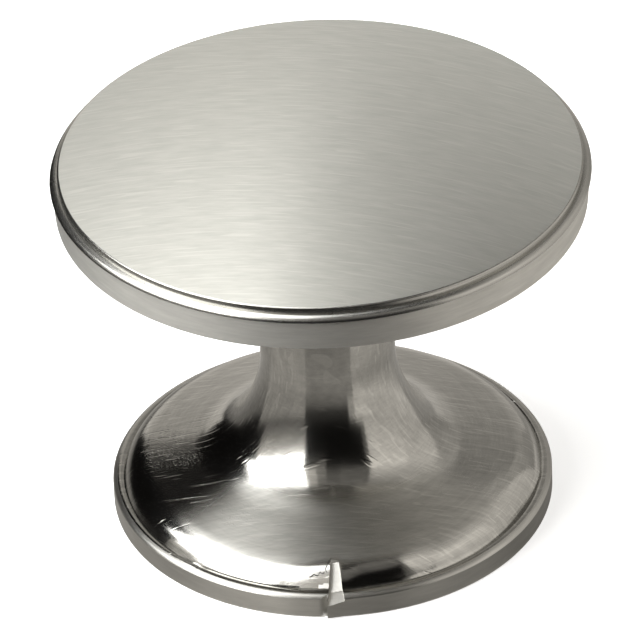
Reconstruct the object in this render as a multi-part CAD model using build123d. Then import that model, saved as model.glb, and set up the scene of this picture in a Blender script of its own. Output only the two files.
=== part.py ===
from build123d import *
import math
import os

# Cabinet knob, cast in one piece: domed head, waisted neck, flared base and a tapped hole.
# Millimetres. The origin is the centre of the mounting face and +Z runs out to the head.

# Head
knob_height = 25.0        # mounting face to the crown of the face
head_diameter = 32.0      # over the bead, the widest ring
face_diameter = 31.06     # domed face, inside the bead
dome_rise = 1.25          # crown above the edge of the face
face_edge_round = 0.12
step_height = 0.37        # wall between the face and the bead
bead_height = 0.34
bead_crown = 0.11         # bulge of the bead
band_setback = 0.1        # the side band stands this far inside the bead
band_height = 1.96
band_draft = 4.0          # degrees, the band narrows downwards
band_edge_round = 0.12
underside_slope = 8.0     # degrees, from the band down to the neck
underside_radius = 5.0    # sweep of the underside into the neck

# Neck and base
neck_diameter = 8.1
waist_radius = 9.25       # long sweep that leaves the neck upright
waist_turn = 34.0         # degrees, after which the sweep tightens
flare_radius = 4.4        # tighter sweep, out to the shelf
shelf_slope = 13.0        # degrees, the shelf falls from the flare to the shoulder
shoulder_radius = 2.4     # soft roll between the shelf and the skirt
skirt_width = 0.7         # steep skirt from the shoulder to the bead, seen from above
skirt_slope = 58.0        # degrees
base_diameter = 26.6
base_band_height = 1.35
base_bead_width = 0.64
base_bead_rise = 0.24     # inner edge of the bead above the band
base_bead_crown = 0.13    # bulge of the bead
base_edge_round = 0.15

# Cored underside of the base
foot_width = 2.0          # flat ring that bears on the door
core_rim_depth = 0.7      # depth of the core beside the foot
core_boss_depth = 2.0     # depth of the core beside the boss
core_draft = 12.0         # degrees, on the walls of the core
boss_diameter = 8.6
boss_setback = 0.3        # the boss stands short of the foot, so that the rim seats first

# Tapped hole for an M4 screw
tap_drill_diameter = 3.3
tap_depth = 11.0
drill_point_angle = 118.0
mouth_diameter = 4.6      # countersunk mouth, 90 degrees

# Struck place on the rim of the base, at the front
split_x = -0.65           # split in the rim, seen from the front
lip_length = 3.0          # rim right of the split that is sprung outwards
lip_proud = 0.25
dint_width = 0.4          # bevel beaten into the rim left of the split
dint_depth = 0.2
facet_length = 1.85       # bruised facet, from the rim up onto the shoulder
facet_slope = 46.0        # degrees, flatter than the skirt
facet_rim_width = 1.1
facet_top_width = 0.45
facet_bite = 0.06         # depth of its shallow side, on the right
facet_lean = 10.0         # degrees, it deepens towards the split

head_radius = head_diameter / 2
face_radius = face_diameter / 2
neck_radius = neck_diameter / 2
base_radius = base_diameter / 2
boss_radius = boss_diameter / 2
tap_radius = tap_drill_diameter / 2
mouth_radius = mouth_diameter / 2


def drop(run, degrees):
    return run * math.tan(math.radians(degrees))


def arc_step(radius, from_degrees, to_degrees):
    # How far an arc runs out and down while its surface turns from upright towards flat
    a = math.radians(from_degrees)
    b = math.radians(to_degrees)
    return radius * (math.cos(a) - math.cos(b)), radius * (math.sin(b) - math.sin(a))


# Levels of the head, from the crown down
face_edge_z = knob_height - dome_rise
bead_top_z = face_edge_z - step_height
band_top_z = bead_top_z - bead_height
band_low_z = band_top_z - band_height
band_top_radius = head_radius - band_setback
band_low_radius = band_top_radius - drop(band_height, band_draft)
underside_neck_z = band_low_z - drop(band_low_radius - neck_radius, underside_slope)

# Top of the base, from the bead inwards: skirt, shoulder, shelf
bead_inner_radius = base_radius - base_bead_width
bead_inner_z = base_band_height + base_bead_rise
shoulder_corner_radius = bead_inner_radius - skirt_width
shoulder_corner_z = bead_inner_z + drop(skirt_width, skirt_slope)

# Two tangent arcs carry the neck out to the shelf, and the shelf sets how high they start
shelf_turn = 90 - shelf_slope
waist_out, waist_down = arc_step(waist_radius, 0, waist_turn)
flare_out, flare_down = arc_step(flare_radius, waist_turn, shelf_turn)
waist_low_radius = neck_radius + waist_out
shelf_inner_radius = waist_low_radius + flare_out
shelf_inner_z = shoulder_corner_z + drop(shoulder_corner_radius - shelf_inner_radius, shelf_slope)
waist_low_z = shelf_inner_z + flare_down
waist_top_z = waist_low_z + waist_down

# Core, boss and hole
core_radius = base_radius - foot_width
core_roof_radius = core_radius - drop(core_rim_depth, core_draft)
boss_root_radius = boss_radius + drop(core_boss_depth - boss_setback, core_draft)
mouth_top_z = boss_setback + mouth_radius - tap_radius
tap_end_z = boss_setback + tap_depth
drill_tip_z = tap_end_z + tap_radius / math.tan(math.radians(drill_point_angle / 2))


def turned_body():
    crown = (0, knob_height)
    face_edge = (face_radius, face_edge_z)
    bead_top = (face_radius, bead_top_z)
    bead_side = (head_radius, band_top_z)
    band_top = (band_top_radius, band_top_z)
    band_low = (band_low_radius, band_low_z)
    neck_top = (neck_radius, underside_neck_z)
    waist_top = (neck_radius, waist_top_z)
    waist_low = (waist_low_radius, waist_low_z)
    shelf_inner = (shelf_inner_radius, shelf_inner_z)
    shoulder = (shoulder_corner_radius, shoulder_corner_z)
    bead_inner = (bead_inner_radius, bead_inner_z)
    base_band_top = (base_radius, base_band_height)
    base_edge = (base_radius, 0)
    dome_radius = (face_radius**2 + dome_rise**2) / (2 * dome_rise)
    with BuildSketch(Plane.XZ) as section:
        with BuildLine():
            RadiusArc(crown, face_edge, dome_radius)
            Line(face_edge, bead_top)
            SagittaArc(bead_top, bead_side, bead_crown)
            Polyline(bead_side, band_top, band_low, neck_top, waist_top)
            RadiusArc(waist_top, waist_low, -waist_radius)
            RadiusArc(waist_low, shelf_inner, -flare_radius)
            Polyline(shelf_inner, shoulder, bead_inner)
            SagittaArc(bead_inner, base_band_top, base_bead_crown)
            Polyline(
                base_band_top,
                base_edge,
                (core_radius, 0),
                (core_roof_radius, core_rim_depth),
                (boss_root_radius, core_boss_depth),
                (boss_radius, boss_setback),
                (mouth_radius, boss_setback),
                (tap_radius, mouth_top_z),
                (tap_radius, tap_end_z),
                (0, drill_tip_z),
                crown,
            )
        make_face()
        rounds = (
            (face_edge, face_edge_round),
            (band_low, band_edge_round),
            (neck_top, underside_radius),
            (shoulder, shoulder_radius),
            (base_edge, base_edge_round),
        )
        for corner, radius in rounds:
            fillet(section.vertices().sort_by_distance((*corner, 0))[0], radius)
    return revolve(section.sketch, Axis.Z)


def rim_y(x, radius):
    return -math.sqrt(radius**2 - x**2)


def sprung_lip():
    # Stretch of the band that stands out at the split and runs back into the rim
    tail_x = split_x + lip_length
    plan = Polyline(
        (split_x, rim_y(split_x, bead_inner_radius)),
        (split_x, rim_y(split_x, base_radius) - lip_proud),
        (tail_x, rim_y(tail_x, base_radius)),
        (tail_x, rim_y(tail_x, bead_inner_radius)),
        close=True,
    )
    return Pos(0, 0, base_edge_round) * extrude(make_face(plan), base_band_height - base_edge_round)


def dint():
    # Bevel in the band, which deepens from the sound rim to the split
    start_x = split_x - dint_width
    clear = 2 * lip_proud
    plan = Polyline(
        (start_x, rim_y(start_x, base_radius)),
        (split_x, rim_y(split_x, base_radius) + dint_depth),
        (split_x, rim_y(split_x, base_radius) - clear),
        (start_x, rim_y(start_x, base_radius) - clear),
        close=True,
    )
    return Pos(0, 0, -base_band_height) * extrude(make_face(plan), 3 * base_band_height)


def facet_cut():
    # Two plane floors, one across the shoulder and one along the bead, deeper towards the split
    top_radius = base_radius - facet_length
    rim_radius = base_radius + 2 * lip_proud
    rim_right = split_x + facet_rim_width
    middle = split_x + facet_rim_width / 2
    bead_fall = base_bead_rise / base_bead_width

    def floor_point(side, radius):
        run = (radius - top_radius) / (rim_radius - top_radius)
        x = middle + side * (facet_top_width + run * (facet_rim_width - facet_top_width)) / 2
        if radius > bead_inner_radius:
            surface = bead_inner_z - bead_fall * (radius - bead_inner_radius)
        else:
            surface = bead_inner_z + drop(bead_inner_radius - radius, facet_slope)
        return (x, -radius, surface - facet_bite - drop(rim_right - x, facet_lean))

    def trough(inner, outer):
        floor = Polyline(
            floor_point(-1, inner),
            floor_point(-1, outer),
            floor_point(1, outer),
            floor_point(1, inner),
            close=True,
        )
        return extrude(make_face(floor), amount=waist_top_z, dir=(0, 0, 1))

    return trough(top_radius, bead_inner_radius) + trough(bead_inner_radius, rim_radius)


knob = turned_body() - dint() + sprung_lip() - facet_cut()
knob.label = "knob"

os.makedirs("parts", exist_ok=True)
export_step(knob, "parts/knob.step")
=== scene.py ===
import math

import bpy
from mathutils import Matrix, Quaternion, Vector


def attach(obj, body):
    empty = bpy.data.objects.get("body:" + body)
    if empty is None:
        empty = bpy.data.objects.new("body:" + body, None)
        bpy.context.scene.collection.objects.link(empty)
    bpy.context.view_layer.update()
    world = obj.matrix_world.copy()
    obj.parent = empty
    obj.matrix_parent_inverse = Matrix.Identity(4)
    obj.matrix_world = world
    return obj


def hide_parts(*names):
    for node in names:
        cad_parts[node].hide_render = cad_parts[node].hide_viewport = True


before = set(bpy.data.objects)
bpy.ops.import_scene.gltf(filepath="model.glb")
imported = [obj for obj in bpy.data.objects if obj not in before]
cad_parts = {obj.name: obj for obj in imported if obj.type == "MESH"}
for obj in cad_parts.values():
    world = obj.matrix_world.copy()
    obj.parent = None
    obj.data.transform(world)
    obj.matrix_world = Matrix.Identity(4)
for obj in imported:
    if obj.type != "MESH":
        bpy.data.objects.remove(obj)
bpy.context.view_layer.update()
mm = 0.001
weldGap = 0.0008 * mm
print("frame loaded")


# Small helpers for drawing outlines and cutting

def deselectAll():
    if bpy.context.object and bpy.context.object.mode != "OBJECT":
        bpy.ops.object.mode_set(mode="OBJECT")
    bpy.ops.object.select_all(action="DESELECT")


def drawChain(name, points):
    # a plane is shrunk to one vertex, and the outline is extruded from it point by point
    deselectAll()
    bpy.ops.mesh.primitive_plane_add(size=mm, location=(0, 0, 0))
    chain = bpy.context.object
    chain.name = name
    chain.data.name = name
    bpy.ops.object.mode_set(mode="EDIT")
    bpy.ops.mesh.select_all(action="SELECT")
    bpy.ops.mesh.merge(type="CENTER")
    bpy.ops.transform.translate(value=points[0])
    for before, after in zip(points, points[1:]):
        step = Vector(after) - Vector(before)
        bpy.ops.mesh.extrude_vertices_move(TRANSFORM_OT_translate={"value": step})
    return chain


def closeOutline():
    bpy.ops.mesh.select_all(action="SELECT")
    bpy.ops.mesh.edge_face_add()


def spinChain(steps, angle=2 * math.pi):
    bpy.ops.mesh.select_all(action="SELECT")
    bpy.ops.mesh.spin(steps=steps, angle=angle, center=(0, 0, 0), axis=(0, 0, 1))
    bpy.ops.mesh.select_all(action="SELECT")
    bpy.ops.mesh.remove_doubles(threshold=weldGap)


def outwardNormals():
    bpy.ops.mesh.select_all(action="SELECT")
    bpy.ops.mesh.normals_make_consistent(inside=False)


def cutWith(piece, cutter, how):
    deselectAll()
    piece.select_set(True)
    bpy.context.view_layer.objects.active = piece
    cut = piece.modifiers.new("cut", "BOOLEAN")
    cut.operation = how
    cut.solver = "EXACT"
    cut.object = cutter
    bpy.ops.object.modifier_apply(modifier=cut.name)
    bpy.data.objects.remove(cutter)


def arcPoints(centre, radius, fromDeg, toDeg, steps):
    points = []
    for i in range(steps + 1):
        a = math.radians(fromDeg + (toDeg - fromDeg) * i / steps)
        points.append((centre[0] + radius * math.cos(a), centre[1] + radius * math.sin(a)))
    return points


def bulgePoints(start, end, rise, steps):
    # shallow arc from start to end that stands out by rise, to the left of the way
    chord = math.dist(start, end)
    radius = (chord * chord / 4 + rise * rise) / (2 * rise)
    half = math.asin(chord / 2 / radius)
    along = ((end[0] - start[0]) / chord, (end[1] - start[1]) / chord)
    out = (-along[1], along[0])
    points = []
    for i in range(steps + 1):
        a = half * (2 * i / steps - 1)
        u = chord / 2 + radius * math.sin(a)
        v = radius * math.cos(a) - radius * math.cos(half)
        points.append((start[0] + along[0] * u + out[0] * v, start[1] + along[1] * u + out[1] * v))
    return points


def roundCorner(before, corner, after, radius, steps):
    a = Vector((before[0] - corner[0], before[1] - corner[1])).normalized()
    b = Vector((after[0] - corner[0], after[1] - corner[1])).normalized()
    half = a.angle(b) / 2
    centre = Vector(corner) + (a + b).normalized() * (radius / math.sin(half))
    first = Vector(corner) + a * (radius / math.tan(half)) - centre
    last = Vector(corner) + b * (radius / math.tan(half)) - centre
    turn = first.angle(last)
    points = []
    for i in range(steps + 1):
        t = i / steps
        p = (first * math.sin((1 - t) * turn) + last * math.sin(t * turn)) / math.sin(turn)
        points.append(tuple(centre + p))
    return points


def runPoints(start, end, steps):
    return [(start[0] + (end[0] - start[0]) * i / steps, start[1] + (end[1] - start[1]) * i / steps)
            for i in range(steps + 1)]


# The knob, turned from its half section, in millimetres

knobShape = {
    "height": 25.0,
    "headRadius": 16.0,
    "faceRadius": 15.53,
    "domeRise": 1.25,
    "domeStop": 0.16,
    "faceEdgeRound": 0.12,
    "stepHeight": 0.37,
    "beadHeight": 0.34,
    "beadCrown": 0.11,
    "bandSetback": 0.1,
    "bandHeight": 1.96,
    "bandDraft": 4.0,
    "bandEdgeRound": 0.12,
    "undersideSlope": 8.0,
    "undersideRadius": 5.0,
    "neckRadius": 4.05,
    "waistRadius": 9.25,
    "waistTurn": 34.0,
    "flareRadius": 4.4,
    "shelfSlope": 13.0,
    "shoulderRadius": 2.4,
    "skirtWidth": 0.7,
    "skirtSlope": 58.0,
    "baseRadius": 13.3,
    "baseBandHeight": 1.35,
    "baseBeadWidth": 0.64,
    "baseBeadRise": 0.24,
    "baseBeadCrown": 0.13,
    "baseEdgeRound": 0.15,
    "baseBandStop": 0.05,
    "footWidth": 2.0,
    "coreRimDepth": 0.7,
    "coreBossDepth": 2.0,
    "coreDraft": 12.0,
    "bossRadius": 4.3,
    "bossSetback": 0.3,
    "tapRadius": 1.65,
    "tapDepth": 11.0,
    "mouthRadius": 2.3,
    "drillPoint": 118.0,
    "spinSteps": 288,
}
sectionSteps = {
    "dome": 39,
    "edge": 6,
    "bead": 14,
    "wall": 8,
    "underside": 24,
    "waist": 30,
    "bend": 26,
    "skirt": 3,
    "baseBand": 4,
}


def slopeDrop(run, degrees):
    return run * math.tan(math.radians(degrees))


k = knobShape
faceEdgeZ = k["height"] - k["domeRise"]
beadTopZ = faceEdgeZ - k["stepHeight"]
bandTopZ = beadTopZ - k["beadHeight"]
bandLowZ = bandTopZ - k["bandHeight"]
bandTopRadius = k["headRadius"] - k["bandSetback"]
bandLowRadius = bandTopRadius - slopeDrop(k["bandHeight"], k["bandDraft"])
undersideZ = bandLowZ - slopeDrop(bandLowRadius - k["neckRadius"], k["undersideSlope"])
beadInnerRadius = k["baseRadius"] - k["baseBeadWidth"]
beadInnerZ = k["baseBandHeight"] + k["baseBeadRise"]
shoulderRadius = beadInnerRadius - k["skirtWidth"]
shoulderZ = beadInnerZ + slopeDrop(k["skirtWidth"], k["skirtSlope"])
# the waist and the flare are tangent arcs, and the shelf sets how high they start
waistTurn, shelfTurn = math.radians(k["waistTurn"]), math.radians(90 - k["shelfSlope"])
waistCentre = k["neckRadius"] + k["waistRadius"]
waistLowRadius = waistCentre - k["waistRadius"] * math.cos(waistTurn)
flareCentre = waistLowRadius + k["flareRadius"] * math.cos(waistTurn)
shelfInnerRadius = flareCentre - k["flareRadius"] * math.cos(shelfTurn)
shelfInnerZ = shoulderZ + slopeDrop(shoulderRadius - shelfInnerRadius, k["shelfSlope"])
flareCentreZ = shelfInnerZ + k["flareRadius"] * math.sin(shelfTurn)
waistTopZ = flareCentreZ + (k["waistRadius"] - k["flareRadius"]) * math.sin(waistTurn)
coreRadius = k["baseRadius"] - k["footWidth"]
coreRoofRadius = coreRadius - slopeDrop(k["coreRimDepth"], k["coreDraft"])
bossRootRadius = k["bossRadius"] + slopeDrop(k["coreBossDepth"] - k["bossSetback"], k["coreDraft"])
mouthTopZ = k["bossSetback"] + k["mouthRadius"] - k["tapRadius"]
tapEndZ = k["bossSetback"] + k["tapDepth"]
drillTipZ = tapEndZ + k["tapRadius"] / math.tan(math.radians(k["drillPoint"] / 2))


def knobSection():
    n = sectionSteps
    domeRadius = (k["faceRadius"] ** 2 + k["domeRise"] ** 2) / (2 * k["domeRise"])
    domeCentreZ = k["height"] - domeRadius
    faceEdge = (k["faceRadius"], faceEdgeZ)
    beadTop = (k["faceRadius"], beadTopZ)
    beadSide = (k["headRadius"], bandTopZ)
    bandTop = (bandTopRadius, bandTopZ)
    bandLow = (bandLowRadius, bandLowZ)
    neckTop = (k["neckRadius"], undersideZ)
    waistTop = (k["neckRadius"], waistTopZ)
    shelfInner = (shelfInnerRadius, shelfInnerZ)
    shoulder = (shoulderRadius, shoulderZ)
    beadInner = (beadInnerRadius, beadInnerZ)
    baseBandTop = (k["baseRadius"], k["baseBandHeight"])
    baseEdge = (k["baseRadius"], 0.0)

    section = [(0.0, k["height"])]
    for i in range(1, n["dome"] + 1):
        r = (k["faceRadius"] - k["domeStop"]) * i / n["dome"]
        section.append((r, domeCentreZ + math.sqrt(domeRadius ** 2 - r * r)))
    section += roundCorner(section[-1], faceEdge, beadTop, k["faceEdgeRound"], n["edge"])
    section += bulgePoints(beadTop, beadSide, k["beadCrown"], n["bead"])
    section += runPoints(bandTop, bandLow, n["wall"])[:-1]
    section += roundCorner(bandTop, bandLow, neckTop, k["bandEdgeRound"], n["edge"])
    section += roundCorner(bandLow, neckTop, waistTop, k["undersideRadius"], n["underside"])
    section += runPoints((k["neckRadius"], section[-1][1]), waistTop, n["wall"])[1:]
    waistEnd, flareEnd = 180 + k["waistTurn"], 270 - k["shelfSlope"]
    section += arcPoints((waistCentre, waistTopZ), k["waistRadius"], 180, waistEnd, n["waist"])[1:]
    section += arcPoints((flareCentre, flareCentreZ), k["flareRadius"], waistEnd, flareEnd, n["bend"])[1:]
    bend = roundCorner(shelfInner, shoulder, beadInner, k["shoulderRadius"], n["bend"])
    section += runPoints(shelfInner, bend[0], n["wall"])[1:-1] + bend
    section += runPoints(bend[-1], beadInner, n["skirt"])[1:-1]
    section += bulgePoints(beadInner, baseBandTop, k["baseBeadCrown"], n["bead"])
    baseBandLow = (k["baseRadius"], k["baseEdgeRound"] + k["baseBandStop"])
    section += runPoints(baseBandTop, baseBandLow, n["baseBand"])[1:]
    section += roundCorner(baseBandTop, baseEdge, (coreRadius, 0.0), k["baseEdgeRound"], n["edge"])
    section += [
        (coreRadius, 0.0),
        (coreRoofRadius, k["coreRimDepth"]),
        (bossRootRadius, k["coreBossDepth"]),
        (k["bossRadius"], k["bossSetback"]),
        (k["mouthRadius"], k["bossSetback"]),
        (k["tapRadius"], mouthTopZ),
        (k["tapRadius"], tapEndZ),
        (0.0, drillTipZ),
    ]
    return section


def buildKnob():
    knob = drawChain("brushedKnob", [(r * mm, 0, z * mm) for r, z in knobSection()])
    spinChain(knobShape["spinSteps"])
    outwardNormals()
    bpy.ops.object.mode_set(mode="OBJECT")
    return knob


knob = buildKnob()
print("knob turned:", len(knob.data.polygons), "faces")


# Worn skirt: left of the split it rises towards it and lies flatter along the bead,
# right of it the skirt is bent down, and farther right the shelf falls away sooner

skirtWear = {
    "reach": (10.3, 12.7),
    "levels": (1.5, 5.0),
    "most": 0.4,
    "rise": 0.25,
    "riseCurve": 1.5,
    "riseRun": (-3.2, -0.25),
    "riseEdge": (-11.0, -11.7),
    "riseEnd": (0.15, -0.2),
    "cove": 0.1,
    "coveCurve": 1.5,
    "coveRun": (12.1, 12.66),
    "coveStart": (-9.5, -7.0),
    "bend": 0.28,
    "bendCurve": 1.3,
    "bendRun": (11.5, 12.66),
    "bendStart": (0.25, 1.9),
    "bendEnd": (6.6, 3.6),
    "fall": 0.3,
    "fallRun": (10.4, 12.66),
    "fallStart": (3.5, 6.0),
    "fallEnd": (-1.0, -6.0),
}


def share(value, span):
    return min(1.0, max(0.0, (value - span[0]) / (span[1] - span[0])))


def fade(value, span):
    t = share(value, span)
    return t * t * (3 - 2 * t)


def skirtLift(x, y):
    w = skirtWear
    r = math.hypot(x, y)
    rise = w["rise"] * share(x, w["riseRun"]) ** w["riseCurve"] * fade(y, w["riseEdge"])
    rise += w["cove"] * share(r, w["coveRun"]) ** w["coveCurve"] * fade(x, w["coveStart"])
    bend = w["bend"] * share(r, w["bendRun"]) ** w["bendCurve"]
    bend = bend * fade(x, w["bendStart"]) * fade(x, w["bendEnd"])
    fall = w["fall"] * share(r, w["fallRun"]) * fade(x, w["fallStart"]) * fade(y, w["fallEnd"])
    return rise * fade(x, w["riseEnd"]) - bend - fall


def wearSkirt():
    # vertices are weighted by how far they move, then one displace modifier lifts and one sinks
    inner, outer = skirtWear["reach"]
    low, high = skirtWear["levels"]
    most = skirtWear["most"]
    ways = (("risen", 1), ("sunken", -1))
    for name, way in ways:
        group = knob.vertex_groups.new(name=name)
        for v in knob.data.vertices:
            x, y, z = v.co / mm
            if y < 0 and low < z < high and inner < math.hypot(x, y) < outer:
                group.add([v.index], max(0.0, way * skirtLift(x, y)) / most, "REPLACE")
    for name, way in ways:
        push = knob.modifiers.new(name, "DISPLACE")
        push.vertex_group = name
        push.mid_level = 0.0
        push.strength = way * most * mm
        bpy.ops.object.modifier_apply(modifier=push.name)
    knob.vertex_groups.clear()


wearSkirt()
print("skirt worn")


# Struck place on the rim of the base, at the front

struckPlace = {
    "splitX": -0.65,
    "lipLength": 3.0,
    "lipProud": 0.25,
    "dintWidth": 0.4,
    "dintDepth": 0.2,
    "facetLength": 1.85,
    "facetSlope": 46.0,
    "facetRimWidth": 1.1,
    "facetTopWidth": 0.45,
    "facetBite": 0.06,
    "facetLean": 10.0,
    "facetClear": 8.0,
    "crackWidth": 0.06,
    "crackDepth": 0.08,
    "crackClear": 1.0,
    "cracks": [
        [(-0.3, 11.25), (-0.42, 11.5), (-0.52, 11.74), (-0.7, 12.02), (-0.62, 12.2)],
        [(-0.72, 12.14), (-0.86, 12.22), (-0.98, 12.1), (-1.14, 12.27), (-1.36, 12.19), (-1.62, 12.31)],
    ],
}


def rimY(x, radius):
    return -math.sqrt(radius * radius - x * x)


def raisePrism(name, points, height):
    prism = drawChain(name, [tuple(c * mm for c in p) for p in points])
    closeOutline()
    bpy.ops.mesh.extrude_region_move(TRANSFORM_OT_translate={"value": (0, 0, height * mm)})
    outwardNormals()
    bpy.ops.object.mode_set(mode="OBJECT")
    return prism


def facetEdge(side, radius):
    s = struckPlace
    topRadius = knobShape["baseRadius"] - s["facetLength"]
    run = (radius - topRadius) / (s["facetLength"] + 2 * s["lipProud"])
    width = s["facetTopWidth"] + run * (s["facetRimWidth"] - s["facetTopWidth"])
    return s["splitX"] + s["facetRimWidth"] / 2 + side * width / 2


def strikeRim():
    s = struckPlace
    rim, inner = knobShape["baseRadius"], beadInnerRadius
    band, edge = knobShape["baseBandHeight"], knobShape["baseEdgeRound"]
    startX = s["splitX"] - s["dintWidth"]
    clear = 2 * s["lipProud"]
    dint = raisePrism("dint", [
        (startX, rimY(startX, rim), -band),
        (s["splitX"], rimY(s["splitX"], rim) + s["dintDepth"], -band),
        (s["splitX"], rimY(s["splitX"], rim) - clear, -band),
        (startX, rimY(startX, rim) - clear, -band),
    ], 3 * band)
    cutWith(knob, dint, "DIFFERENCE")

    tailX = s["splitX"] + s["lipLength"]
    lip = raisePrism("lip", [
        (s["splitX"], rimY(s["splitX"], inner), edge),
        (s["splitX"], rimY(s["splitX"], rim) - s["lipProud"], edge),
        (tailX, rimY(tailX, rim), edge),
        (tailX, rimY(tailX, inner), edge),
    ], band - edge)
    cutWith(knob, lip, "UNION")

    # two plane floors, one across the shoulder and one along the bead, deeper beside the split
    topRadius = rim - s["facetLength"]
    rimRadius = rim + 2 * s["lipProud"]
    rimRight = s["splitX"] + s["facetRimWidth"]
    beadRise, beadWidth = knobShape["baseBeadRise"], knobShape["baseBeadWidth"]

    def floorPoint(side, radius):
        x = facetEdge(side, radius)
        if radius > inner:
            surface = beadInnerZ - (radius - inner) * beadRise / beadWidth
        else:
            surface = beadInnerZ + slopeDrop(inner - radius, s["facetSlope"])
        return (x, -radius, surface - s["facetBite"] - slopeDrop(rimRight - x, s["facetLean"]))

    for near, far in ((topRadius, inner), (inner, rimRadius)):
        corners = [floorPoint(-1, near), floorPoint(-1, far), floorPoint(1, far), floorPoint(1, near)]
        cutWith(knob, raisePrism("facet", corners, s["facetClear"]), "DIFFERENCE")


def skirtZ(radius):
    # height of the shelf, shoulder and skirt at a radius
    low, high = skirtWear["levels"]
    top = [p for p in knobSection() if shelfInnerRadius < p[0] < beadInnerRadius and low < p[1] < high]
    for before, after in zip(top, top[1:]):
        if before[0] <= radius <= after[0]:
            return before[1] + (after[1] - before[1]) * (radius - before[0]) / (after[0] - before[0])
    return beadInnerZ


def cutCrack(path):
    s = struckPlace
    points = [(x * mm, rimY(x, r) * mm, (skirtZ(r) - s["crackDepth"]) * mm) for x, r in path]
    run = Vector(points[-1]) - Vector(points[0])
    across = Vector((-run.y, run.x, 0)).normalized() * s["crackWidth"] * mm
    crack = drawChain("crack", points)
    bpy.ops.mesh.select_all(action="SELECT")
    bpy.ops.mesh.extrude_edges_move(TRANSFORM_OT_translate={"value": across})
    bpy.ops.mesh.select_all(action="SELECT")
    bpy.ops.mesh.extrude_region_move(TRANSFORM_OT_translate={"value": (0, 0, s["crackClear"] * mm)})
    outwardNormals()
    bpy.ops.object.mode_set(mode="OBJECT")
    cutWith(knob, crack, "DIFFERENCE")


strikeRim()
for path in struckPlace["cracks"]:
    cutCrack(path)
print("rim struck:", len(knob.data.polygons), "faces")


# Thread in the hole

thread = {
    "pitch": 0.7,
    "major": 2.0,
    "crest": 0.1,
    "clear": 0.05,
    "overlap": 0.03,
    "start": 1.3,
    "turns": 13,
    "steps": 32,
}
smoothAngle = 28.0


def cutThread():
    # a tooth is carried up and round by the screw modifier, and cut from the wall of the hole
    t = thread
    inner = knobShape["tapRadius"] - t["clear"]
    crest = t["crest"] / 2
    root = t["pitch"] / 2 - crest + t["overlap"]
    tooth = [(inner, -root), (t["major"], -crest), (t["major"], crest), (inner, root)]
    cutter = drawChain("tooth", [(r * mm, 0, (t["start"] + z) * mm) for r, z in tooth])
    closeOutline()
    bpy.ops.object.mode_set(mode="OBJECT")
    turn = cutter.modifiers.new("screw", "SCREW")
    turn.axis = "Z"
    turn.screw_offset = t["pitch"] * mm
    turn.iterations = t["turns"]
    turn.steps = turn.render_steps = t["steps"]
    turn.use_normal_calculate = True
    bpy.ops.object.modifier_apply(modifier=turn.name)
    bpy.ops.object.mode_set(mode="EDIT")
    bpy.ops.mesh.select_all(action="SELECT")
    bpy.ops.mesh.remove_doubles(threshold=weldGap)
    bpy.ops.mesh.fill_holes(sides=8)
    outwardNormals()
    bpy.ops.object.mode_set(mode="OBJECT")
    cutWith(knob, cutter, "DIFFERENCE")


cutThread()
deselectAll()
knob.select_set(True)
bpy.context.view_layer.objects.active = knob
bpy.ops.object.shade_smooth_by_angle(angle=math.radians(smoothAngle))
print("thread cut:", len(knob.data.polygons), "faces")


# Finish

def addNode(tree, kind, **values):
    node = tree.nodes.new(kind)
    for key, value in values.items():
        setattr(node, key, value)
    return node


def wire(tree, source, target):
    tree.links.new(source, target)


def mathNode(tree, operation, *values):
    node = addNode(tree, "ShaderNodeMath", operation=operation)
    for socket, value in zip(node.inputs, values):
        if isinstance(value, (int, float)):
            socket.default_value = value
        else:
            wire(tree, value, socket)
    return node.outputs[0]


def rampNode(tree, source, none, full, smooth=True):
    ramp = addNode(tree, "ShaderNodeMapRange", interpolation_type="SMOOTHSTEP" if smooth else "LINEAR")
    ramp.inputs["From Min"].default_value = none
    ramp.inputs["From Max"].default_value = full
    wire(tree, source, ramp.inputs["Value"])
    return ramp.outputs[0]


def noiseNode(tree, vector, scale, detail, rough=0.5):
    noise = addNode(tree, "ShaderNodeTexNoise", noise_dimensions="3D")
    noise.inputs["Scale"].default_value = scale
    noise.inputs["Detail"].default_value = detail
    noise.inputs["Roughness"].default_value = rough
    wire(tree, vector, noise.inputs["Vector"])
    return noise.outputs["Fac"]


def bumpNode(tree, height, deep):
    bump = addNode(tree, "ShaderNodeBump")
    bump.inputs["Strength"].default_value = 1.0
    bump.inputs["Distance"].default_value = deep * mm
    wire(tree, height, bump.inputs["Height"])
    return bump


def nodeGroup(name, inputs, outputs):
    group = bpy.data.node_groups.new(name, "ShaderNodeTree")
    for way, sockets in (("INPUT", inputs), ("OUTPUT", outputs)):
        for label, kind in sockets.items():
            group.interface.new_socket(label, in_out=way, socket_type="NodeSocket" + kind)
    return group, addNode(group, "NodeGroupInput"), addNode(group, "NodeGroupOutput")


brushLook = {
    "fine": {"detail": 3.0, "rough": 0.65, "share": 0.6},
    "broad": {"size": (0.55, 0.3, 0.3), "shift": (17.0, 5.0, 9.0), "detail": 1.0, "share": 0.4},
    "lone": {"size": (0.45, 0.9, 0.9), "shift": (3.0, 41.0, 23.0), "detail": 0.0, "span": (0.66, 0.78)},
    "tone": (0.3, 0.7),
}


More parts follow.
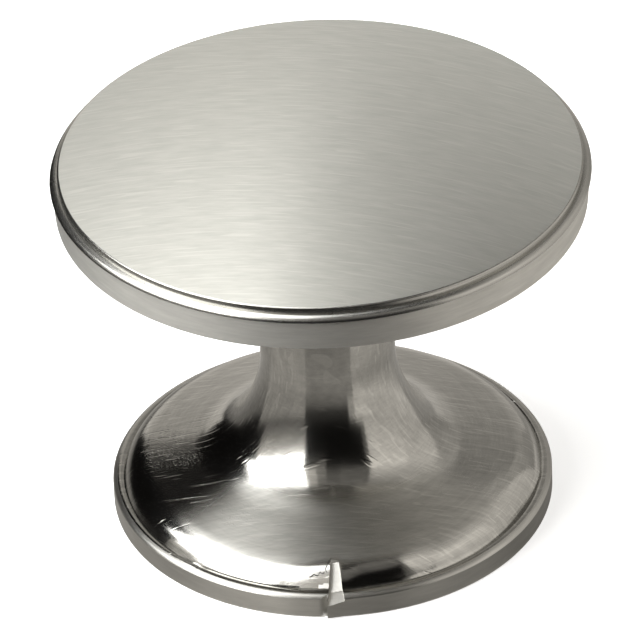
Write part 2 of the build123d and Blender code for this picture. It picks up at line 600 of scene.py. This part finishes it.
def brushGroup():
    # strokes run along x of the vector, and lie side by side along y
    group, start, end = nodeGroup("brushMarks", {"Vector": "Vector", "Scratches": "Float"},
                                  {"Height": "Float", "Tone": "Float"})
    vector = start.outputs["Vector"]
    fine, broad, lone = brushLook["fine"], brushLook["broad"], brushLook["lone"]
    strokes = noiseNode(group, vector, 1.0, fine["detail"], fine["rough"])
    strokes = mathNode(group, "MULTIPLY", strokes, fine["share"])
    fields = []
    for look in (broad, lone):
        moved = addNode(group, "ShaderNodeVectorMath", operation="MULTIPLY_ADD")
        moved.inputs[1].default_value = look["size"]
        moved.inputs[2].default_value = look["shift"]
        wire(group, vector, moved.inputs[0])
        fields.append(noiseNode(group, moved.outputs[0], 1.0, look["detail"]))
    mixed = mathNode(group, "ADD", strokes, mathNode(group, "MULTIPLY", fields[0], broad["share"]))
    scratch = rampNode(group, fields[1], *lone["span"])
    deep = mathNode(group, "MULTIPLY", scratch, start.outputs["Scratches"])
    tone = rampNode(group, mathNode(group, "ADD", mixed, deep), *brushLook["tone"], smooth=False)
    wire(group, mathNode(group, "SUBTRACT", mixed, deep), end.inputs["Height"])
    wire(group, tone, end.inputs["Tone"])
    return group


def ringGroup():
    # x and z of the vector run round the axis and y along the section, as radius less height; no seam
    group, start, end = nodeGroup("ringSpace", {"Turns": "Float", "Lines": "Float"}, {"Vector": "Vector"})
    place = addNode(group, "ShaderNodeTexCoord")
    apart = addNode(group, "ShaderNodeSeparateXYZ")
    wire(group, place.outputs["Object"], apart.inputs[0])
    x, y, z = apart.outputs
    squares = [mathNode(group, "MULTIPLY", c, c) for c in (x, y)]
    radius = mathNode(group, "SQRT", mathNode(group, "ADD", *squares))
    safe = mathNode(group, "MAXIMUM", radius, 1e-5)
    ring = addNode(group, "ShaderNodeCombineXYZ")
    for c, socket in ((x, ring.inputs[0]), (y, ring.inputs[2])):
        around = mathNode(group, "DIVIDE", c, safe)
        wire(group, mathNode(group, "MULTIPLY", around, start.outputs["Turns"]), socket)
    along = mathNode(group, "SUBTRACT", radius, z)
    wire(group, mathNode(group, "MULTIPLY", along, start.outputs["Lines"]), ring.inputs[1])
    wire(group, ring.outputs[0], end.inputs["Vector"])
    return group


brushMarks = brushGroup()
ringSpace = ringGroup()


def metalStart(name, look):
    metal = bpy.data.materials.new(name)
    metal.use_nodes = True
    tree = metal.node_tree
    shader = tree.nodes["Principled BSDF"]
    shader.inputs["Metallic"].default_value = 1.0
    shader.inputs["Anisotropic"].default_value = look["stretch"]
    shader.inputs["Anisotropic Rotation"].default_value = look.get("turn", 0.0)
    return metal, tree, shader


def metalFinish(tree, shader, marks, look, matt=None, scratched=None):
    # strokes tint the plate a little, change its gloss and lift its surface
    tone = marks.outputs["Tone"]
    if scratched is not None:
        turned = mathNode(tree, "MULTIPLY", tone, look["cross"]["toneLeft"])
        tone = mathNode(tree, "ADD", turned, mathNode(tree, "MULTIPLY", scratched, look["cross"]["tone"]))
    tint = addNode(tree, "ShaderNodeMix", data_type="RGBA")
    tint.inputs[6].default_value = look["dark"]
    tint.inputs[7].default_value = look["light"]
    wire(tree, tone, tint.inputs["Factor"])
    wire(tree, tint.outputs[2], shader.inputs["Base Color"])
    gloss = addNode(tree, "ShaderNodeMapRange")
    gloss.inputs["To Min"].default_value = look["rough"][0]
    gloss.inputs["To Max"].default_value = look["rough"][1]
    wire(tree, tone, gloss.inputs["Value"])
    rough = gloss.outputs[0]
    if matt is not None:
        rough = mathNode(tree, "ADD", rough, matt)
    wire(tree, rough, shader.inputs["Roughness"])
    bump = bumpNode(tree, marks.outputs["Height"], look["lift"])
    wire(tree, bump.outputs[0], shader.inputs["Normal"])
    return bump


def marksNode(tree, vector, scratches):
    marks = addNode(tree, "ShaderNodeGroup", node_tree=brushMarks)
    marks.inputs["Scratches"].default_value = scratches
    wire(tree, vector, marks.inputs["Vector"])
    return marks


def flatPlace(tree):
    # place across the axis, and its distance from the axis
    place = addNode(tree, "ShaderNodeTexCoord")
    flat = addNode(tree, "ShaderNodeVectorMath", operation="MULTIPLY")
    flat.inputs[1].default_value = (1, 1, 0)
    wire(tree, place.outputs["Object"], flat.inputs[0])
    far = addNode(tree, "ShaderNodeVectorMath", operation="LENGTH")
    wire(tree, flat.outputs[0], far.inputs[0])
    return flat.outputs[0], far.outputs["Value"]


def ringMask(tree, far, edges):
    ramps = [rampNode(tree, far, none * mm, full * mm) for none, full in edges]
    return mathNode(tree, "MULTIPLY", *ramps)


def shelfMask(tree, shelf):
    # the front of the shelf is brushed harder than the waist above it and the skirt below it
    flat, far = flatPlace(tree)
    outward = addNode(tree, "ShaderNodeVectorMath", operation="NORMALIZE")
    wire(tree, flat, outward.inputs[0])
    facing = addNode(tree, "ShaderNodeVectorMath", operation="DOT_PRODUCT")
    az = math.radians(shelf["az"])
    facing.inputs[1].default_value = (math.sin(az), -math.cos(az), 0)
    wire(tree, outward.outputs[0], facing.inputs[0])
    near, end = [math.cos(math.radians(a)) for a in shelf["spread"]]
    mask = mathNode(tree, "MULTIPLY", ringMask(tree, far, shelf["edges"]),
                    rampNode(tree, facing.outputs["Value"], end, near))
    return mathNode(tree, "MULTIPLY", mask, shelf["rough"])


def pitBump(tree, pits):
    # fine pits in the plate, that lie in patches
    place = addNode(tree, "ShaderNodeTexCoord")
    levels = []
    for scale, none, full in (pits["grain"], pits["patch"]):
        noise = noiseNode(tree, place.outputs["Object"], scale, 1.0)
        levels.append(rampNode(tree, noise, none, full))
    far = flatPlace(tree)[1]
    depth = mathNode(tree, "MULTIPLY", *levels)
    depth = mathNode(tree, "MULTIPLY", depth, ringMask(tree, far, pits["edges"]))
    return bumpNode(tree, depth, pits["deep"])


def crossBump(tree, cross):
    # short slanting scratches over the turned strokes
    place = addNode(tree, "ShaderNodeTexCoord")
    slant = addNode(tree, "ShaderNodeMapping")
    slant.inputs["Rotation"].default_value = (0, 0, math.radians(cross["turn"]))
    slant.inputs["Scale"].default_value = (cross["along"], cross["lines"], cross["along"])
    wire(tree, place.outputs["Object"], slant.inputs["Vector"])
    marks = marksNode(tree, slant.outputs[0], cross["scratches"])
    return bumpNode(tree, marks.outputs["Height"], cross["deep"]), marks.outputs["Tone"]


def ringMetal(name, look):
    metal, tree, shader = metalStart(name, look)
    ring = addNode(tree, "ShaderNodeGroup", node_tree=ringSpace)
    ring.inputs["Turns"].default_value = look["turns"]
    ring.inputs["Lines"].default_value = look["lines"]
    marks = marksNode(tree, ring.outputs[0], look["scratches"])
    around = addNode(tree, "ShaderNodeTangent", direction_type="RADIAL", axis="Z")
    wire(tree, around.outputs[0], shader.inputs["Tangent"])
    if "shelf" not in look:
        metalFinish(tree, shader, marks, look)
        return metal
    # the base is worn as well: a harder brushed shelf, pits and slanting scratches
    matt = shelfMask(tree, look["shelf"])
    pits = pitBump(tree, look["pits"])
    cross, scratched = crossBump(tree, look["cross"])
    bump = metalFinish(tree, shader, marks, look, matt, scratched)
    wire(tree, pits.outputs[0], cross.inputs["Normal"])
    wire(tree, cross.outputs[0], bump.inputs["Normal"])
    return metal


def faceMetal(name, look):
    # the face is brushed in gentle arcs, all of one radius, that fall away to the right
    metal, tree, shader = metalStart(name, look)
    place = addNode(tree, "ShaderNodeTexCoord")
    apart = addNode(tree, "ShaderNodeSeparateXYZ")
    wire(tree, place.outputs["Object"], apart.inputs[0])
    x, y = apart.outputs[0], apart.outputs[1]
    across = mathNode(tree, "SUBTRACT", x, look["arcX"] * mm)
    square = mathNode(tree, "MULTIPLY", across, across)
    reach = (look["arcRadius"] * mm) ** 2
    rise = mathNode(tree, "SQRT", mathNode(tree, "SUBTRACT", reach, square))
    line = mathNode(tree, "SUBTRACT", y, rise)
    stroke = addNode(tree, "ShaderNodeCombineXYZ")
    wire(tree, mathNode(tree, "MULTIPLY", x, look["along"]), stroke.inputs[0])
    wire(tree, mathNode(tree, "MULTIPLY", line, look["lines"]), stroke.inputs[1])
    marks = marksNode(tree, stroke.outputs[0], look["scratches"])
    way = addNode(tree, "ShaderNodeCombineXYZ")
    wire(tree, rise, way.inputs[0])
    wire(tree, mathNode(tree, "MULTIPLY", across, -1.0), way.inputs[1])
    level = addNode(tree, "ShaderNodeVectorMath", operation="NORMALIZE")
    wire(tree, way.outputs[0], level.inputs[0])
    wire(tree, level.outputs[0], shader.inputs["Tangent"])
    metalFinish(tree, shader, marks, look)
    return metal


nickelDark = (0.43, 0.424, 0.402, 1.0)
nickelLight = (0.53, 0.523, 0.496, 1.0)
looks = {
    "face": {
        "dark": (0.394, 0.39, 0.363, 1.0), "light": (0.486, 0.481, 0.448, 1.0), "rough": (0.32, 0.3),
        "stretch": 1.0, "turn": 0.25, "lift": 0.0019, "scratches": 0.45,
        "arcX": -12.0, "arcRadius": 60.0, "along": 700, "lines": 6500,
    },
    "rim": {
        "dark": nickelDark, "light": nickelLight, "rough": (0.29, 0.23),
        "stretch": 0.0, "lift": 0.001, "scratches": 0.0, "turns": 6, "lines": 5000,
    },
    # the band is a lighter copy of the nickel on the rim and the foot: painted light, so that the side of
    # the head renders brighter
    "band": {
        "dark": (0.6, 0.593, 0.568, 1.0), "light": (0.72, 0.712, 0.68, 1.0), "rough": (0.64, 0.6),
        "stretch": 0.5, "turn": 0.25, "lift": 0.001, "scratches": 0.1, "turns": 8, "lines": 4000,
    },
    "foot": {
        "dark": nickelDark, "light": nickelLight, "rough": (0.36, 0.3),
        "stretch": 0.3, "turn": 0.25, "lift": 0.001, "scratches": 0.1, "turns": 8, "lines": 4000,
    },
    "flare": {
        "dark": (0.37, 0.365, 0.346, 1.0), "light": (0.59, 0.582, 0.552, 1.0), "rough": (0.16, 0.13),
        "stretch": 0.7, "turn": 0.25, "lift": 0.002, "scratches": 0.15, "turns": 9, "lines": 6500,
        "shelf": {"az": 4, "spread": (36, 66), "edges": ((6.4, 7.8), (11.9, 11.2)), "rough": 0.36},
        "pits": {"grain": (7500, 0.56, 0.7), "patch": (260, 0.5, 0.62), "deep": 0.004,
                 "edges": ((7.4, 8.2), (11.7, 11.2))},
        "cross": {"turn": 35, "along": 1000, "lines": 6500, "scratches": 0.8, "deep": 0.0045,
                  "tone": 0.6, "toneLeft": 0.4},
    },
    "core": {
        "dark": (0.36, 0.35, 0.33, 1.0), "light": (0.46, 0.45, 0.43, 1.0), "rough": (0.5, 0.4),
        "stretch": 0.0, "lift": 0.003, "scratches": 0.0, "turns": 40, "lines": 3000,
    },
    "struck": {
        "dark": (0.66, 0.65, 0.62, 1.0), "light": (0.82, 0.81, 0.78, 1.0), "rough": (0.42, 0.34),
        "stretch": 0.0, "lift": 0.001, "scratches": 0.0, "turns": 30, "lines": 2000,
    },
}
knob.data.materials.clear()
for part, look in looks.items():
    if part == "face":
        knob.data.materials.append(faceMetal("brushedFace", look))
    else:
        knob.data.materials.append(ringMetal(part + "Nickel", look))

# where one look ends and the next begins, and how the struck place is told from the turned rim
lookEdges = {
    "hair": 0.01,
    "faceInset": 0.1,
    "beadInset": 0.02,
    "footZ": 0.1,
    "coreZ": 2.05,
    "coreTilt": -0.02,
    "holeRadius": 2.4,
    "struckZ": 0.9,
    "facetDrop": 0.3,
    "splitLeft": 0.5,
    "splitRight": 0.55,
    "splitTilt": 0.06,
}


def isStruck(face, r, z):
    # the facet, the dint and the split don't face straight out from the axis, as a turned surface does
    x, y = face.center.x / mm, face.center.y / mm
    if y > 0 or r < knobShape["baseRadius"] - struckPlace["facetLength"] or z < lookEdges["struckZ"]:
        return False
    onFacet = facetEdge(-1, -y) < x < facetEdge(1, -y)
    if onFacet and z > knobShape["baseBandHeight"] - lookEdges["facetDrop"]:
        return True
    tilt = (face.normal.x * y - face.normal.y * x) / r
    besideSplit = struckPlace["splitX"] - lookEdges["splitLeft"] < x < lookEdges["splitRight"]
    return r > beadInnerRadius and besideSplit and abs(tilt) > lookEdges["splitTilt"]


def lookAt(face):
    r, z = math.hypot(face.center.x, face.center.y) / mm, face.center.z / mm
    if z > faceEdgeZ - lookEdges["hair"] and r < knobShape["faceRadius"] - lookEdges["faceInset"]:
        return "face"
    if z > bandTopZ - lookEdges["hair"]:
        return "rim"
    if z > bandLowZ:
        return "band"
    if isStruck(face, r, z):
        return "struck"
    if r > beadInnerRadius + lookEdges["beadInset"] and lookEdges["footZ"] < z < beadInnerZ:
        return "foot"
    if z < lookEdges["coreZ"] and face.normal.z < lookEdges["coreTilt"] or r < lookEdges["holeRadius"]:
        return "core"
    return "flare"


lookOrder = list(looks)
for face in knob.data.polygons:
    face.material_index = lookOrder.index(lookAt(face))

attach(knob, "root")
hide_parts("knob")
print("finish set")


# Light tent round the knob: lit screens and dark flags, by azimuth from the camera and height, in
# degrees, and glowing boards on the floor, by azimuth and reach in millimetres, which only reflections
# see and which paint the floor's light and shade there: painted shadow in front and on the left, painted
# light to the right and the back

tent = {
    "radius": 0.4,
    "lift": 0.01,
    "rows": 6,
    "stepAngle": 4,
    "fewestSteps": 4,
    "floorGap": 0.00005,
    "plain": (1.0, 1.0, 0.98, 1),
    "warm": (1.0, 0.955, 0.885, 1),
}
panels = [
    {"name": "softboxLeft", "az": (-104, -34), "el": (26, 50), "level": (6.0, 6.0)},
    {"name": "softboxLeftLow", "az": (-92, -34), "el": (20, 26), "level": (5.0, 6.0)},
    {"name": "softboxSide", "az": (-126, -34), "el": (50, 62), "level": (3.5, 3.5)},
    {"name": "softboxTop", "az": (187.5, 326), "el": (62, 89), "level": (3.7, 3.7)},
    {"name": "softboxBack", "az": (187, 234), "el": (53, 62), "level": (3.7, 3.7)},
    {"name": "screenLeft", "az": (-94, -34), "el": (8, 20), "level": (0.35, 1.0)},
    {"name": "screenLeftLow", "az": (-94, -34), "el": (-2, 8), "level": (0.15, 0.33)},
    {"name": "flagLeft", "az": (-154, -94), "el": (-2, 20), "level": (0.004, 0.004)},
    {"name": "flagLeftEdge", "az": (-158, -92), "el": (20, 26), "level": (0.004, 0.004)},
    {"name": "flagLeftMid", "az": (-161, -104), "el": (26, 34), "level": (0.004, 0.004)},
    {"name": "flagLeftHigh", "az": (-166, -104), "el": (34, 46), "level": (0.004, 0.004)},
    {"name": "flagLeftTop", "az": (-173, -126), "el": (46, 53), "level": (0.05, 0.3)},
    {"name": "flagFront", "az": (-34, 41), "el": (-2, 27), "level": (0.004, 0.004)},
    {"name": "flagFrontRight", "az": (-8, 41), "el": (27, 30), "level": (0.004, 0.004)},
    {"name": "screenFrontLow", "az": (-34, -8), "el": (27, 33), "level": (0.3, 0.45)},
    {"name": "screenFront", "az": (-34, -20), "el": (33, 62), "level": (0.9, 0.5)},
    {"name": "screenFrontMid", "az": (-20, -8), "el": (33, 62), "level": (0.32, 0.26)},
    {"name": "screenFrontRight", "az": (-8, 9), "el": (30, 62), "level": (0.1, 0.22)},
    {"name": "flagTop", "az": (9, 41), "el": (30, 62), "level": (0.12, 0.26)},
    {"name": "screenRightEdge", "az": (41, 46), "el": (-2, 62), "level": (0.12, 0.15)},
    {"name": "screenRight", "az": (46, 92), "el": (-2, 34), "level": (0.65, 1.05)},
    {"name": "screenRightHigh", "az": (46, 92), "el": (34, 62), "level": (0.9, 0.25)},
    {"name": "screenRightFar", "az": (92, 128), "el": (-2, 34), "level": (0.62, 0.8)},
    {"name": "screenRightFarHigh", "az": (92, 128), "el": (34, 62), "level": (0.75, 0.45)},
    {"name": "screenBackRight", "az": (128, 150), "el": (-2, 62), "level": (0.32, 0.55)},
    {"name": "screenBack", "az": (150, 182), "el": (-2, 48), "level": (0.62, 0.24)},
    {"name": "flagBackTop", "az": (150, 187), "el": (48, 62), "level": (0.07, 0.07)},
    {"name": "screenBackLeft", "az": (182, 206), "el": (-2, 20), "level": (0.8, 0.54)},
    {"name": "screenBackLeftEdge", "az": (182, 202), "el": (20, 26), "level": (0.54, 0.52)},
    {"name": "screenBackLeftMid", "az": (182, 199), "el": (26, 34), "level": (0.52, 0.49)},
    {"name": "screenBackLeftHigh", "az": (182, 194), "el": (34, 46), "level": (0.49, 0.49)},
    {"name": "flagCeiling", "az": (-17, 187.5), "el": (62, 89), "level": (0.03, 0.03)},
    {"name": "softboxFront", "az": (-34, -17), "el": (62, 89), "level": (4.1, 4.1)},
]
# boards: painted light and shade of the floor, seen only in reflections
paintedFloorBoards = [
    {"name": "boardLeft", "az": (-157, -104), "reach": (16, 30), "level": (0.4, 0.15)},
    {"name": "boardLeftFar", "az": (-157, -104), "reach": (30, 50), "level": (0.25, 0.05)},
    {"name": "boardLeftEnd", "az": (-157, -104), "reach": (50, 400), "level": (0.006, 0.006)},
    {"name": "boardFrontLeft", "az": (-104, -36), "reach": (16, 34), "level": (0.48, 0.34)},
    {"name": "boardFrontLeftFar", "az": (-104, -36), "reach": (34, 90), "level": (0.45, 0.25)},
    {"name": "boardFrontLeftEnd", "az": (-104, -36), "reach": (90, 400), "level": (0.09, 0.09)},
    {"name": "boardFront", "az": (-36, 35), "reach": (16, 20), "level": (0.45, 0.3)},
    {"name": "boardFrontMid", "az": (-36, 35), "reach": (20, 28), "level": (0.3, 0.28)},
    {"name": "boardFrontFar", "az": (-36, 26), "reach": (28, 42), "level": (0.26, 0.15)},
    {"name": "boardFrontEnd", "az": (-36, 26), "reach": (42, 400), "level": (0.03, 0.004)},
    {"name": "boardFrontRightFar", "az": (26, 35), "reach": (28, 70), "level": (0.5, 0.5)},
    {"name": "boardFrontRightEnd", "az": (26, 35), "reach": (70, 400), "level": (0.3, 0.1)},
    {"name": "boardRightEdge", "az": (35, 46), "reach": (16, 30), "level": (0.3, 0.9)},
    {"name": "boardRightEdgeMid", "az": (35, 60), "reach": (30, 46), "level": (0.6, 0.8)},
    {"name": "boardRightMid", "az": (60, 126), "reach": (30, 46), "level": (0.6, 0.7)},
    {"name": "boardRightEdgeFar", "az": (35, 60), "reach": (46, 90), "level": (0.85, 0.8)},
    {"name": "boardRight", "az": (46, 126), "reach": (16, 30), "level": (0.3, 0.9)},
    {"name": "boardRightFar", "az": (60, 126), "reach": (46, 90), "level": (0.7, 0.65)},
    {"name": "boardRightEdgeEnd", "az": (35, 60), "reach": (90, 400), "level": (0.6, 0.4)},
    {"name": "boardRightEnd", "az": (60, 126), "reach": (90, 400), "level": (0.6, 0.55)},
    {"name": "boardBackRight", "az": (126, 150), "reach": (16, 400), "level": (0.38, 0.28)},
    {"name": "boardBack", "az": (150, 203), "reach": (16, 400), "level": (0.62, 0.7)},
]
# ring of board close to the foot, painted shadow and painted light on the floor as the metal reflects it,
# which fades from left to right (by the sine of the azimuth)
paintedFloorNearFoot = {
    "name": "paintedFloorRing",
    "reach": (13.32, 16),
    "levels": [
        (-0.8, 0.42), (-0.5, 0.6), (-0.3, 0.66), (-0.14, 0.5), (0.0, 0.3),
        (0.2, 0.26), (0.46, 0.34), (0.64, 0.3), (0.87, 0.22),
    ],
}


def glowStart(name, tint):
    glow = bpy.data.materials.new(name)
    glow.use_nodes = True
    tree = glow.node_tree
    tree.nodes.clear()
    light = addNode(tree, "ShaderNodeEmission")
    light.inputs["Color"].default_value = tint
    out = addNode(tree, "ShaderNodeOutputMaterial")
    wire(tree, light.outputs[0], out.inputs["Surface"])
    return glow, tree, light.inputs["Strength"]


def glowMaterial(name, tint, level, low, high, across=False):
    # upright panels fade with height, boards on the floor fade with distance from the knob
    glow, tree, strength = glowStart(name, tint)
    place = addNode(tree, "ShaderNodeTexCoord")
    fade = addNode(tree, "ShaderNodeMapRange")
    fade.inputs["From Min"].default_value = low
    fade.inputs["From Max"].default_value = high
    fade.inputs["To Min"].default_value = level[0]
    fade.inputs["To Max"].default_value = level[1]
    if across:
        far = addNode(tree, "ShaderNodeVectorMath", operation="LENGTH")
        wire(tree, place.outputs["Object"], far.inputs[0])
        wire(tree, far.outputs["Value"], fade.inputs["Value"])
    else:
        apart = addNode(tree, "ShaderNodeSeparateXYZ")
        wire(tree, place.outputs["Object"], apart.inputs[0])
        wire(tree, apart.outputs[2], fade.inputs["Value"])
    wire(tree, fade.outputs[0], strength)
    return glow


def sideGlow(name, tint, levels):
    # painted light and shade on the floor, which fades from left to right of the knob
    glow, tree, strength = glowStart(name, tint)
    flat, far = flatPlace(tree)
    apart = addNode(tree, "ShaderNodeSeparateXYZ")
    wire(tree, flat, apart.inputs[0])
    ramp = addNode(tree, "ShaderNodeValToRGB")
    ramp.color_ramp.interpolation = "EASE"
    stops = ramp.color_ramp.elements
    while len(stops) < len(levels):
        stops.new(0.5)
    for stop, (side, level) in zip(stops, levels):
        stop.position = side / 2 + 0.5
        stop.color = (level, level, level, 1)
    sine = mathNode(tree, "DIVIDE", apart.outputs[0], far)
    wire(tree, mathNode(tree, "MULTIPLY_ADD", sine, 0.5, 0.5), ramp.inputs[0])
    wire(tree, ramp.outputs[0], strength)
    return glow


def sweepCard(name, points, azimuths, glow):
    card = drawChain(name, points)
    span = math.radians(azimuths[1] - azimuths[0])
    spinChain(max(tent["fewestSteps"], round(math.degrees(span) / tent["stepAngle"])), span)
    bpy.ops.object.mode_set(mode="OBJECT")
    card.data.materials.append(glow)
    card.visible_camera = False
    return card


def addPanel(panel):
    # an upright strip is swept round the axis from its right edge to its left
    low, high = panel["el"]
    start = math.radians(panel["az"][1])
    points = []
    for i in range(tent["rows"] + 1):
        el = math.radians(low + (high - low) * i / tent["rows"])
        reach = tent["radius"] * math.cos(el)
        z = tent["radius"] * math.sin(el) + tent["lift"]
        points.append((reach * math.sin(start), -reach * math.cos(start), z))
    tint = tent["plain"] if "softbox" in panel["name"] else tent["warm"]
    glow = glowMaterial(panel["name"], tint, panel["level"], points[0][2], points[-1][2])
    sweepCard(panel["name"], points, panel["az"], glow)


# a glowing board just over the floor, which only reflections see, paints the floor's light and shade
# there
def addPaintedFloorBoard(paintedBoard):
    azimuths = paintedBoard.get("az", (-180, 180))
    start = math.radians(azimuths[1])
    points = []
    for r in paintedBoard["reach"]:
        points.append((r * mm * math.sin(start), -r * mm * math.cos(start), tent["floorGap"]))
    near, far = paintedBoard["reach"]
    if "levels" in paintedBoard:
        glow = sideGlow(paintedBoard["name"], tent["warm"], paintedBoard["levels"])
    else:
        glow = glowMaterial(paintedBoard["name"], tent["warm"], paintedBoard["level"], near * mm, far * mm, across=True)
    card = sweepCard(paintedBoard["name"], points, azimuths, glow)
    card.visible_diffuse = False
    card.visible_shadow = False


for panel in panels:
    addPanel(panel)
for paintedBoard in paintedFloorBoards + [paintedFloorNearFoot]:
    addPaintedFloorBoard(paintedBoard)

# Floor, which is lit from itself as well, so that it comes out white and keeps a soft shadow

floorLook = {"size": 3.0, "colour": (0.88, 0.88, 0.88, 1), "lift": 0.62}
deselectAll()
bpy.ops.mesh.primitive_plane_add(size=floorLook["size"], location=(0, 0, 0))
floor = bpy.context.object
floor.name = "floor"
pale = bpy.data.materials.new("paleFloor")
pale.use_nodes = True
tree = pale.node_tree
tree.nodes.clear()
matt = addNode(tree, "ShaderNodeBsdfDiffuse")
matt.inputs["Color"].default_value = floorLook["colour"]
lift = addNode(tree, "ShaderNodeEmission")
rays = addNode(tree, "ShaderNodeLightPath")
seen = mathNode(tree, "MAXIMUM", rays.outputs["Is Camera Ray"], rays.outputs["Is Glossy Ray"])
wire(tree, mathNode(tree, "MULTIPLY", seen, floorLook["lift"]), lift.inputs["Strength"])
both = addNode(tree, "ShaderNodeAddShader")
out = addNode(tree, "ShaderNodeOutputMaterial")
wire(tree, matt.outputs[0], both.inputs[0])
wire(tree, lift.outputs[0], both.inputs[1])
wire(tree, both.outputs[0], out.inputs["Surface"])
floor.data.materials.append(pale)

world = bpy.data.worlds.new("studio")
bpy.context.scene.world = world
world.use_nodes = True
air = world.node_tree.nodes["Background"]
air.inputs["Color"].default_value = (1, 1, 1, 1)
air.inputs["Strength"].default_value = 1.0
print("studio set")


# Camera, fitted to the rims of the head and the base in the photo

cameraPlace = {
    "eye": (0, -370.1, 266.2),
    "aim": (-0.39, 0, 12.3),
    "roll": -2.35,
    "lens": 422.3,
    "sensor": 36,
}
bpy.ops.object.camera_add(location=[c * mm for c in cameraPlace["eye"]])
camera = bpy.context.object
camera.data.sensor_width = cameraPlace["sensor"]
camera.data.lens = cameraPlace["lens"]
gaze = Vector(cameraPlace["aim"]) - Vector(cameraPlace["eye"])
turn = gaze.to_track_quat("-Z", "Y") @ Quaternion((0, 0, 1), math.radians(cameraPlace["roll"]))
camera.rotation_euler = turn.to_euler()
bpy.context.scene.camera = camera
bpy.context.scene.view_settings.view_transform = "Standard"

print("camera set")
